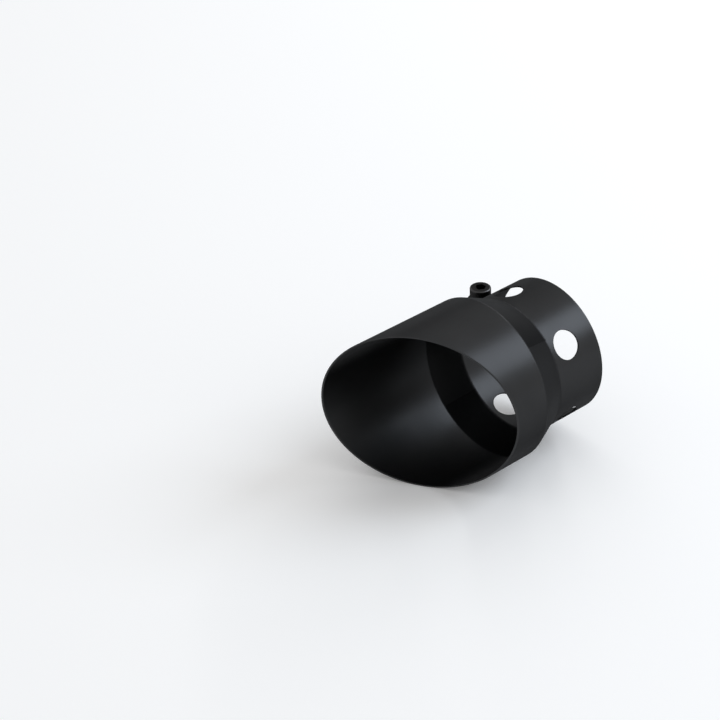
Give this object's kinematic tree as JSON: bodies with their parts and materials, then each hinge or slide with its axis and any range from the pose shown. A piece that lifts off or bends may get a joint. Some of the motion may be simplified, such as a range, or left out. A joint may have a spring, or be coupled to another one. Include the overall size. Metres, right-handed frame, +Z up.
{
  "type": "exhaust tip",
  "caption": "Round clamp-on exhaust tip: slash-cut outlet barrel, short reducing cone, and a windowed inlet sleeve that a cap screw draws tight round the tailpipe.",
  "frame": {"origin": "centre of the inlet mouth, on the tip's axis", "axes": "+Y along the tip's axis, out of the inlet mouth towards the car; -Y out of the slash-cut outlet; +Z up as fitted; the clamp is on the -X side"},
  "size_m": [0.1091, 0.1361, 0.1016],
  "materials": {
    "shell": "satin black powder coat",
    "lugs": "satin black powder coat",
    "screw": "black oxide"
  },
  "bodies": {
    "root": {"outlet_barrel": "shell", "transition_cone": "shell", "inlet_sleeve": "shell", "upper_lug": "lugs", "lower_lug": "lugs", "clamp_screw": "screw"}
  },
  "joints": []
}
